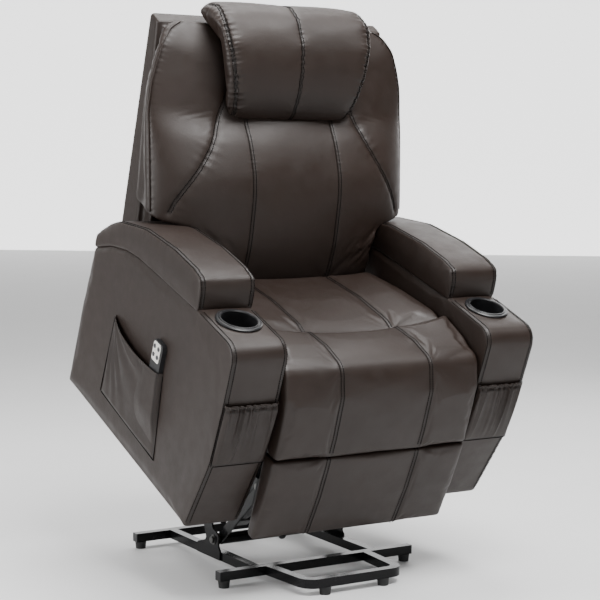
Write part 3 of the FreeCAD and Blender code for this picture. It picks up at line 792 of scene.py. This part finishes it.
def make_footrest():
    block = bolster([(-0.026, 0.226, 0.004), (-0.026, -0.020, 0.006), (-0.066, -0.023, 0.012),
                     (-0.084, 0.105), (-0.089, 0.205), (-0.089, 0.2265, 0.004)],
                    -FOOT_HALF, FOOT_HALF, 0.007)
    seams = long_seams([(-0.070, 0.2265), (-0.088, 0.222), (-0.088, 0.195), (-0.084, 0.105),
                        (-0.068, 0.000), (-0.050, -0.022)])
    obj, lines = padded_form("leg_rest_foot_pad", [block], seams, 0.003, foot_shape, voxel=0.005, smooth=3,
                             hold=0.012)
    carved(obj, lines, depth=0.0010, pucker=0.0003, **LONG_SEAM)
    finished(obj, lines, "leg_rest", ["lower_leg_pad"])


# ---- Back ----
BACK_LOW, BACK_TOP = 0.428, 1.104        # w of the back cushion's lower edge and its top
CENTRE_LINE = np.array([(0.500, 0.440), (0.492, 0.470), (0.492, 0.560), (0.502, 0.614), (0.517, 0.691),
                        (0.539, 0.749), (0.606, 0.837), (0.652, 0.868), (0.688, 0.950), (0.738, 1.052),
                        (0.800, BACK_TOP)])
WING_LINE = np.array([(0.560, 0.430), (0.600, 0.560), (0.613, 0.609), (0.665, 0.712), (0.715, 0.869),
                      (0.738, 0.940), (0.760, 1.000), (0.777, 1.050), (0.792, 1.080), (0.812, BACK_TOP)])
HALF_WIDTH = np.array([(0.600, 0.292), (0.604, 0.400), (0.612, 0.418), (0.870, 0.420), (0.950, 0.412),
                       (1.000, 0.398), (1.050, 0.380), (1.080, 0.356), (1.096, 0.328), (BACK_TOP, 0.290)])


def eased(line, reach, step=0.004):
    """A (v, w) line with its kinks spread over a reach along w."""
    w = np.arange(line[0, 1], line[-1, 1], step)
    v = np.interp(w, line[:, 1], line[:, 0])
    window = np.hanning(2 * int(reach / step) + 3)[1:-1]
    half = len(window) // 2
    padded = np.concatenate([2 * v[0] - v[half:0:-1], v, 2 * v[-1] - v[-2:-half - 2:-1]])
    return np.column_stack([np.convolve(padded, window / window.sum(), "valid"), w])


CENTRE_EASED = eased(CENTRE_LINE, 0.040)
WING_EASED = eased(WING_LINE, 0.110)


def back_front(u, w):
    """How far back the front of the back cushion is."""
    centre = np.interp(w, CENTRE_EASED[:, 1], CENTRE_EASED[:, 0])
    wing = np.interp(w, WING_EASED[:, 1], WING_EASED[:, 0])
    t = np.clip((np.abs(u) - 0.15) / 0.27, 0, 1)
    return centre + (wing - centre) * (1 - np.sqrt(1 - t ** 2))


def back_rear(w):
    """How far back its rear face is, which leans with the frame."""
    return 0.690 + 0.108 * (w - 0.54) / 0.538


def back_half(w):
    """Half the width of the back cushion at a height: narrow between the arms, round at the top."""
    return np.interp(w, HALF_WIDTH[:, 0], HALF_WIDTH[:, 1])


def back_line(u, w, side):
    """A line on the front of the back cushion."""
    return np.column_stack([side * u, back_front(u, w), w])


def make_back():
    """The back cushion: a straight panel between two full wings, with a welt along their outer edges."""
    levels = np.linspace(BACK_LOW, BACK_TOP, 100)
    turn = np.sin(np.linspace(-1, 1, 71) * math.pi / 2)
    u = back_half(levels)[:, None] * turn[None, :]
    w = np.repeat(levels[:, None], u.shape[1], axis=1)
    front = back_front(u, w)
    rear = back_rear(w)
    edge = np.clip((np.abs(u) - 0.300) / 0.060, 0, 1)
    rear = rear + np.maximum(0, front + 0.036 - rear) * edge
    front = np.minimum(front, rear - 0.014)
    block = sandwich(np.dstack([u, front, w]), np.dstack([u, rear, w]))
    down = np.linspace(0.92, 0.440, 24)
    sweep = curve([(0.190, 0.940), (0.207, 0.904), (0.256, 0.816), (0.318, 0.730), (0.358, 0.668),
                   (0.378, 0.618)])[::6]
    up = np.concatenate([np.linspace(0.622, 1.050, 26), np.linspace(1.062, 1.098, 5)])
    straight = [back_line(np.full(len(down), SEAM_U), down, side) for side in (-1, 1)]
    diagonal = [back_line(sweep[:, 0], sweep[:, 1], side) for side in (-1, 1)]
    welt = [back_line(back_half(up) - 0.006, up, side) for side in (-1, 1)]
    seams = straight + diagonal + welt
    obj, lines = padded_form("back_pad", [block], seams, 0.012, voxel=0.007, hold=0.010)
    seams, diagonal, welt = lines[:4], lines[2:4], lines[4:]
    smoothed(obj, 3)
    carved(obj, seams, depth=0.0014, pucker=0.0006, **LONG_SEAM)
    hold_in(obj, diagonal, 0.0030, 0.012, wave=0.030, pucker=0.0012)
    hold_in(obj, welt, 0.0015, 0.006, wave=0.016, pucker=0.0014)
    cords = new_object("back_welt", *joined(*[tube(smooth_line(line), 0.0020) for line in welt]))
    placed(cords, "leather", "back")
    finished(obj, seams, "back", ["back_cushion"])


def smooth_line(line):
    """An even line with its small kinks taken out."""
    for _ in range(6):
        line[1:-1] = (line[:-2] + 2 * line[1:-1] + line[2:]) / 4
    return even(line, 0.006)


def hold_in(obj, seams, depth, width, wave, pucker):
    """A broad valley along seams, where the filling is drawn in, with small uneven puckers."""
    far, along = distances(points_of(obj), seams)
    press = depth * np.exp(-(far / width) ** 2)
    press += pucker * np.exp(-(far / (2.5 * width)) ** 2) * ripple(along, wave)
    set_points(obj, points_of(obj) - normals_of(obj) * press[:, None])


def pillow_shape(co):
    """The pillow is narrower at its lower edge."""
    out = co.copy()
    half = np.interp(co[:, 2], [0.872, 0.960, 1.130, 1.168], [0.196, 0.220, PILLOW_HALF, 0.252])
    out[:, 0] *= half / PILLOW_HALF
    return out


def make_pillow():
    block = bolster([(0.672, 0.872, 0.012), (0.646, 0.872, 0.016), (0.628, 0.905, 0.02), (0.622, 0.960),
                     (0.629, 1.020), (0.654, 1.088, 0.04), (0.706, 1.146, 0.04), (0.762, 1.164, 0.02),
                     (0.828, 1.150, 0.02), (0.836, 1.108, 0.006), (0.798, 1.090), (0.728, 1.062, 0.02),
                     (0.690, 0.958)], -PILLOW_HALF, PILLOW_HALF, 0.042)
    front = [(0.650, 0.876), (0.630, 0.905), (0.622, 0.960), (0.629, 1.020), (0.656, 1.088), (0.704, 1.144),
             (0.762, 1.164), (0.815, 1.153)]
    end_seam = PILLOW_HALF - 0.020
    seams = [across(front, u) for u in (-end_seam, 0.0, end_seam)]
    obj, lines = padded_form("head_rest_pad", [block], seams, 0.012, pillow_shape, voxel=0.005)
    smoothed(obj, 3)
    carved(obj, lines)
    hold_in(obj, [lines[0], lines[2]], 0.0015, 0.008, wave=0.015, pucker=0.0026)
    finished(obj, lines, "back", ["head_pillow"])


def cut(obj, tool):
    """Take one object's volume out of another, and remove it."""
    mod = obj.modifiers.new("cut", "BOOLEAN")
    mod.object = tool
    mod.operation = "DIFFERENCE"
    mod.solver = "EXACT"
    applied(obj)
    bpy.data.objects.remove(tool)


def hollow_box(name, outer, inner):
    """A block with an open hollow; both are (side outline, half width, rounding of its ends)."""
    shapes = [bolster(outline, -half, half, edge) for outline, half, edge in (outer, inner)]
    obj = new_object(name, *shapes[0])
    cut(obj, new_object(name + "_hollow", *shapes[1]))
    return obj


def make_back_cover():
    """The leather shell behind the back cushion: two hollow boxes that lean back, fused into one."""
    shell = hollow_box("back_cover", ([(0.720, 0.440), (0.824, 1.087, 0.006), (0.877, 1.099, 0.012),
                                       (0.829, 0.440)], SHELL_HALF, 0.006),
                       ([(0.660, 0.380), (0.790, 1.070), (0.860, 1.076), (0.814, 0.380)], 0.352, 0.004))
    lower = hollow_box("lower", ([(0.718, 0.570), (0.740, 0.244, 0.006), (0.808, 0.244, 0.010),
                                  (0.834, 0.570)], 0.291, 0.010),
                       ([(0.700, 0.200), (0.700, 0.600), (0.823, 0.600), (0.798, 0.200)], 0.280, 0.002))
    mesh = bpy.data.meshes.new("back_cover")
    verts, faces = joined(*[(points_of(part), faces_of(part)) for part in (shell, lower)])
    mesh.from_pydata([tuple(v) for v in verts], [], faces)
    mesh.update()
    bpy.data.objects.remove(lower)
    shell.data = mesh
    remeshed(shell, 0.005)
    smoothed(shell, 3)
    surface = surface_of(shell)
    rear_edge = [(0.820, 0.470), (0.846, 0.760), (0.867, 1.080)]
    seams = [laid(surface, across(rear_edge, side * 0.350))[0] for side in (-1, 1)]
    carved(shell, seams)
    finished(shell, seams, "back", ["back_shell"])


def make_back_lining():
    """The black cloth inside the shell."""
    lining = new_object("back_lining", *bolster([(0.703, 0.600), (0.802, 1.066, 0.01), (0.846, 1.074, 0.01),
                                                 (0.800, 0.600)], -0.349, 0.349, 0.008))
    remeshed(lining, 0.008)
    smoothed(lining, 3)
    placed(lining, "lining", "back")


# ---- Arms ----
ARM_OUTLINE = [(0.007, -0.004, 0.004), (-0.049, 0.215), (-0.057, 0.400), (-0.055, 0.548, 0.045),
               (0.150, 0.550), (0.389, 0.539), (0.504, 0.533), (0.579, 0.521), (0.672, 0.491),
               (0.772, 0.440, 0.015), (0.791, 0.230), (0.796, -0.003, 0.004)]
PAD_OUTLINE = [(0.150, 0.542, 0.006), (0.155, 0.600), (0.167, 0.629, 0.018), (0.215, 0.637), (0.333, 0.636),
               (0.497, 0.617), (0.650, 0.571), (0.695, 0.544), (0.772, 0.480, 0.015), (0.773, 0.434, 0.006),
               (0.672, 0.484), (0.579, 0.514), (0.504, 0.526), (0.389, 0.532)]


def make_arm_cover():
    """The right arm's cover, with the cup holder's hole and a seam along each edge of its front."""
    body = new_object("arm_cover_right", *bolster(ARM_OUTLINE, ARM_INNER, ARM_OUTER, 0.006))
    cut(body, new_object("hole", *cylinder(CUP_AT, CUP_HOLE, 0.478, 0.600)))
    remeshed(body, 0.006)
    smoothed(body, 1)
    front = [(0.006, 0.012), (-0.049, 0.215), (-0.057, 0.400), (-0.0555, 0.500), (-0.042, 0.536),
             (-0.010, 0.5485), (0.050, 0.5495), (0.150, 0.550)]
    surface = surface_of(body)
    lines = [laid(surface, across(front, u))[0] for u in (ARM_INNER + 0.007, ARM_OUTER - 0.007)]
    inflated(body, lines, 1.5, 0.003, 0.014)
    smoothed(body, 3)
    co = points_of(body)
    co[:, 0] = np.maximum(co[:, 0], ARM_INNER - 0.002)
    set_points(body, co)
    subdivided(body)
    lines = relaid(body, lines)
    carved(body, lines, depth=0.0016, width=0.003, pucker=0.0005)
    return body, lines


def make_arm_pad():
    """The bowed pad on the right arm; its two lower seams hold it down and aren't sewn."""
    pad = bolster(PAD_OUTLINE, ARM_INNER - 0.002, ARM_OUTER + 0.0015, 0.008)
    top = [(0.151, 0.552), (0.155, 0.600), (0.169, 0.629), (0.215, 0.637), (0.333, 0.636), (0.497, 0.617),
           (0.650, 0.571), (0.695, 0.544), (0.766, 0.488)]
    base = [(0.156, 0.550), (0.389, 0.540), (0.504, 0.534), (0.579, 0.522), (0.672, 0.492), (0.768, 0.444)]
    seams = [across(top, u) for u in (ARM_INNER + 0.009, ARM_OUTER - 0.009)]
    seams += [across(base, u) for u in (ARM_INNER, ARM_OUTER)]
    cushion, lines = padded_form("arm_pad_right_cover", [pad], seams, 0.007, voxel=0.005, hold=0.009)
    smoothed(cushion, 4)
    carved(cushion, lines[:2])
    return cushion, lines[:2]


def make_arms():
    """Both arms: the left one is the right one mirrored."""
    arms = [(*make_arm_cover(), "arm_frame", 0.3), (*make_arm_pad(), "arm_pad", 0.8)]
    for obj, seams, node, fill in arms:
        twin = mirrored(obj, obj.name.replace("right", "left"))
        finished(twin, [s * (-1, 1, 1) for s in seams], "chair", [node + "_left"])
        finished(obj, seams, "chair", [node + "_right"])


def cylinder(centre, radius, low, high, sides=64):
    """(points, faces) of an upright cylinder."""
    ring = [(centre[0] + radius * math.cos(a), centre[1] + radius * math.sin(a))
            for a in np.linspace(0, 2 * math.pi, sides, endpoint=False)]
    verts = [(*p, low) for p in ring] + [(*p, high) for p in ring]
    faces = [(i, (i + 1) % sides, sides + (i + 1) % sides, sides + i) for i in range(sides)]
    faces.append(tuple(range(sides))[::-1])
    faces.append(tuple(range(sides, 2 * sides)))
    return np.array(verts), faces


# ---- Pockets ----
def gathers(x, spacing):
    """Uneven pleats of cloth drawn up on elastic, between 0 and 1."""
    a = np.sin(2 * math.pi * x / spacing + 1.3 * np.sin(x * 47.0))
    b = np.sin(2 * math.pi * x / (0.62 * spacing) + 2.0)
    return 0.5 + 0.32 * a + 0.18 * b


def arm_front(w):
    """How far back the front of an arm is."""
    return np.interp(w, [0.000, 0.215, 0.400, 0.500], [0.009, -0.049, -0.058, -0.057])


def shadow_line_cords(name, lines, radius):
    """Dark cords along the edges of a pocket: painted shadow lines where it stands off the arm."""
    return new_object(name, *joined(*[tube(even(line, 0.006), radius) for line in lines]))


def make_front_pockets():
    """A gathered pouch on the front of each arm."""
    low, high = 0.214, 0.393
    xs = np.linspace(ARM_INNER + 0.004, ARM_OUTER - 0.004, 150)
    x, w = np.meshgrid(xs, np.linspace(low, high, 120))
    t = np.clip((w - low) / (high - low), 0, 1)
    below = high - w                     # how far below the mouth
    edge = np.minimum(1, np.minimum(x - xs[0], xs[-1] - x) / 0.010)
    pleat = gathers(x, 0.0105)
    drawn = x + 0.10 * (t - 1) * (x - 0.37)
    fold = (1 - np.abs(np.sin(math.pi * drawn / 0.023 + 0.8 * np.sin(drawn * 61.0)))) * gathers(x, 0.052)
    elastic = np.exp(-((below - 0.005) / 0.0045) ** 4)
    cloth = 0.0026 * pleat * np.exp(-below / 0.020) + 0.0190 * fold * t ** 1.1
    relief = elastic * 0.0034 * pleat + (1 - elastic) * cloth
    waist = -0.0045 * np.exp(-((below - 0.0115) / 0.0030) ** 2)
    stand = (0.0035 + 0.0085 * np.sin(math.pi * t ** 0.8) ** 0.7 + 0.0022 * t) * np.sqrt(edge)
    out = np.maximum(stand + (relief + waist) * np.maximum(edge, 0.15), 0.0006)
    v = arm_front(w) - 0.0012 - out
    front = np.dstack([x, v, w])
    back = np.dstack([x, v + COVER, w])
    obj = new_object("front_pocket_cover_right", *sandwich(front[:, ::-1], back[:, ::-1]))
    carved(obj, [front[k, ::3] - (0, 0.0003, 0) for k in (4, 108)], **POCKET_SEAM)
    rim = [line[::5] - (0, 0.0006, 0) for line in (front[:, 0], front[:, -1], front[1])]
    # Dark cords stand in for the shadow lines along the pocket's sides and lower edge.
    cords = shadow_line_cords("front_pocket_edges_right", rim, 0.0011)
    placed(mirrored(cords, "front_pocket_edges_left"), "thread", "chair")
    placed(cords, "thread", "chair")
    pieces = {"left": mirrored(obj, "front_pocket_cover_left"), "right": obj}
    for side, piece in pieces.items():
        placed(piece, "pocket", "chair")
        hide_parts("front_pocket_" + side)


def make_side_pocket():
    """The wide pouch on the outer face of the left arm, slack at its mouth, bulging over the handset."""
    rear_top, front_top = (0.566, 0.330), (0.252, 0.314)
    rear_low, front_low = (0.577, 0.084), (0.217, 0.072)
    handset_at, handset_half, handset_stand, most = 0.280, 0.034, 0.0184, 0.0192
    s = np.linspace(0, 1, 190)[None, :]
    t = np.linspace(0, 1, 150)[:, None]
    top = [front_top[k] * (1 - s) + rear_top[k] * s for k in (0, 1)]
    low = [front_low[k] * (1 - s) + rear_low[k] * s for k in (0, 1)]
    sag = 0.020 * np.sin(math.pi * s) ** 0.9
    v = low[0] * (1 - t) + top[0] * t
    w = low[1] * (1 - t) + (top[1] - sag) * t
    edge = np.clip(np.minimum(np.minimum(s, 1 - s) / 0.05, t / 0.06), 0, 1)
    swell = np.sin(math.pi * s) ** 0.6 * (0.005 + 0.013 * t ** 1.5)
    # Folds fan out from the rear end of the mouth.
    reach = np.hypot((v - rear_top[0]) / 0.3, (w - rear_top[1]) / 0.25)
    turn = np.arctan2(rear_top[1] - w, rear_top[0] - v + 1e-6)
    drag = 0.5 + 0.5 * np.sin(turn * 21.0 + 2.0 * np.sin(turn * 5.0))
    folds = 0.0042 * drag * np.exp(-((reach - 0.45) / 0.42) ** 2)
    elastic = np.exp(-((1 - t) * 0.24 / 0.010) ** 4)
    ruffle = 0.0022 * gathers(v, 0.013) * elastic * np.clip((0.50 - v) / 0.2, 0.15, 1)
    out = (0.0015 + swell + folds) * np.sqrt(edge) + ruffle * edge
    # The handset fills the front of the pouch, down to a soft lower end.
    away = np.maximum(np.abs(v - handset_at) - handset_half, 0)
    near = np.exp(-(away / np.where(v > handset_at, 0.075, 0.016)) ** 2)
    low_end = np.clip((w - 0.074) / 0.125, 0, 1)
    near = near * low_end ** 2 * (3 - 2 * low_end)
    out = np.maximum(out, handset_stand * near * np.sqrt(np.clip(s / 0.03, 0, 1)))
    x = -(ARM_OUTER + COVER) - np.minimum(out, most)
    front = np.dstack([x, v, w])
    obj = new_object("side_pocket_cover", *sandwich(front, front + (0.0021, 0, 0)))
    hem = front[int(len(front) * 0.955), ::4]
    carved(obj, [hem, front[3, ::4], front[::4, 4], front[::4, -5]], **POCKET_SEAM)
    outline = [np.column_stack([np.full(len(line), -(ARM_OUTER + 0.0036)), line[:, 1:]])
               for line in (front[::6, 0], front[::6, -1], front[0, ::6])]
    # Dark cords stand in for the shadow lines along the pocket's two ends and lower edge.
    cords = shadow_line_cords("side_pocket_shadow_lines", outline, 0.0014)
    placed(cords, "thread", "chair")
    placed(obj, "pocket", "chair")
    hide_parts("side_pocket")


make_arms()
make_seat()
make_nose()
make_footrest()
make_back()
make_pillow()
make_back_cover()
make_back_lining()
make_front_pockets()
make_side_pocket()
